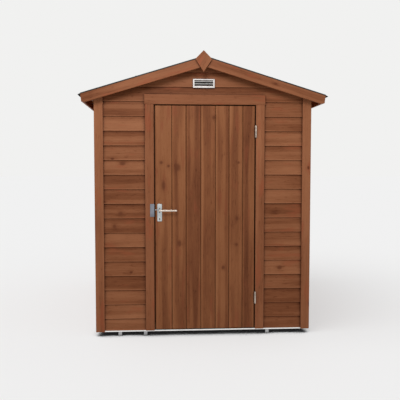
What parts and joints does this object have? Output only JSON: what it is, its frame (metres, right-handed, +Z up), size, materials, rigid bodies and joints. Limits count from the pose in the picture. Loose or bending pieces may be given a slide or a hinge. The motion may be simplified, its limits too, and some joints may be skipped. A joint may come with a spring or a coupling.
{
  "type": "garden shed",
  "caption": "Timber garden shed with an apex roof, overlapping wall boarding, one boarded door on butt hinges with a lever latch, a gable vent and diamond finials, standing on small metal feet.",
  "frame": {"origin": "on the ground under the middle of the shed", "axes": "+Z is up; the door faces -Y, so +Y runs from the front to the back, parallel to the ridge; +X points to the right for someone who faces the door, towards its hinges"},
  "size_m": [2.0994, 2.674, 2.4263],
  "materials": {
    "stained_boarding": "semi-transparent red-brown stain over sawn overlapping boards, grain and knots showing",
    "stained_trim": "semi-transparent red-brown stain over planed boards",
    "stained_door": "semi-transparent red-brown stain over upright boards with grain and knots",
    "inside_wood": "plain sawn softwood with a thin brown treatment",
    "roofing_felt": "mineral-faced bitumen felt, fine grit, matt",
    "pale_metal": "pale satin metal rail",
    "galvanised_steel": "galvanised, dull grey",
    "zinc_steel": "zinc plated, satin",
    "satin_metal": "satin nickel",
    "vent_plastic": "white moulded plastic"
  },
  "bodies": {
    "root": {"base_feet": "galvanised_steel", "base_rails": "pale_metal", "floor_joists": "inside_wood", "floor_boards": "inside_wood", "front_wall_left": "stained_boarding", "front_wall_right": "stained_boarding", "front_gable": "stained_boarding", "back_wall": "stained_boarding", "left_wall": "stained_boarding", "right_wall": "stained_boarding", "front_wall_frame": "inside_wood", "back_wall_frame": "inside_wood", "left_wall_frame": "inside_wood", "right_wall_frame": "inside_wood", "corner_boards": "stained_trim", "side_corner_boards": "stained_trim", "door_casing_left": "stained_trim", "door_casing_right": "stained_trim", "door_casing_head": "stained_trim", "door_stops": "stained_trim", "roof_carriers": "inside_wood", "roof_deck_left": "inside_wood", "roof_deck_right": "inside_wood", "roof_felt_left": "roofing_felt", "roof_felt_right": "roofing_felt", "ridge_strip": "roofing_felt", "eaves_board_left": "stained_trim", "eaves_board_right": "stained_trim", "bargeboard_front_left": "stained_trim", "bargeboard_front_right": "stained_trim", "bargeboard_back_left": "stained_trim", "bargeboard_back_right": "stained_trim", "finial_front": "stained_trim", "finial_back": "stained_trim", "vent_frame": "vent_plastic", "vent_slats": "vent_plastic", "strike_plate": "zinc_steel", "hinge_frame_leaves": "zinc_steel"},
    "door": {"door_boards": "stained_door", "door_stiles": "inside_wood", "door_rails": "inside_wood", "door_braces": "inside_wood", "hinge_door_leaves": "zinc_steel", "outer_backplate": "satin_metal", "inner_backplate": "satin_metal", "latch_tube": "zinc_steel"},
    "handle": {"outer_lever": "satin_metal", "inner_lever": "satin_metal", "lock_spindle": "zinc_steel"},
    "latch": {"latch_bolt": "zinc_steel"}
  },
  "joints": [
    {"name": "door_hinge", "type": "hinge", "parent": "root", "child": "door", "pos_m": [0.447, -1.2453, 0], "axis": [0, 0, 1], "range_deg": [0, 150]},
    {"name": "handle_turn", "type": "hinge", "parent": "door", "child": "handle", "pos_m": [-0.379, -1.234, 1.089], "axis": [0, 1, 0], "range_deg": [0, 45], "stiffness_Nm_per_rad": 0.8, "springref_deg": -34.38},
    {"name": "latch_slide", "type": "slide", "parent": "door", "child": "latch", "axis": [1, 0, 0], "range_m": [0, 0.0055]}
  ],
  "couplings": [
    {"joint": "latch_slide", "follows": "handle_turn", "m_per_rad": 0.0065}
  ]
}
